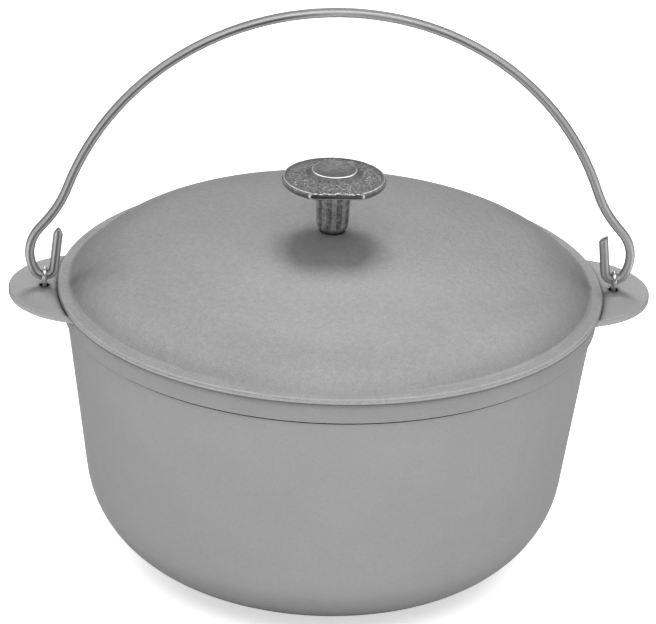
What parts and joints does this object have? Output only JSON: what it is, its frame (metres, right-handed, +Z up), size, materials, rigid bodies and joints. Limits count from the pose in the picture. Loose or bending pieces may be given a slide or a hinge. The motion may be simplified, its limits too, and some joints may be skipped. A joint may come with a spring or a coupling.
{
  "type": "lidded cauldron",
  "caption": "Cast aluminium cauldron with a domed lid, a cast knob on a fluted stem, round ears and a swinging wire bail hooked into wire eyes.",
  "frame": {"origin": "centre of the base, on the surface it stands on", "axes": "+Z up, +X through the right ear seen from the front, -Y towards the front, where the knob's flat is"},
  "size_m": [0.3242, 0.2752, 0.2939],
  "materials": {
    "cast_aluminium": "matte blasted cast surface",
    "knob_aluminium": "rough cast surface",
    "screw_steel": "zinc plated",
    "bright_wire": "bright drawn wire",
    "bail_wire": "drawn steel wire"
  },
  "bodies": {
    "pot": {"cauldron_body": "cast_aluminium", "lid": "cast_aluminium", "knob": "knob_aluminium", "knob_screw": "screw_steel", "knob_washer": "screw_steel", "eye_left": "bright_wire", "eye_right": "bright_wire"},
    "bail": {"bail": "bail_wire"}
  },
  "joints": [
    {"name": "bail_swing", "type": "hinge", "parent": "pot", "child": "bail", "pos_m": [0, 0, 0.1494], "axis": [1, 0, 0], "range_deg": [-92, 92]}
  ]
}
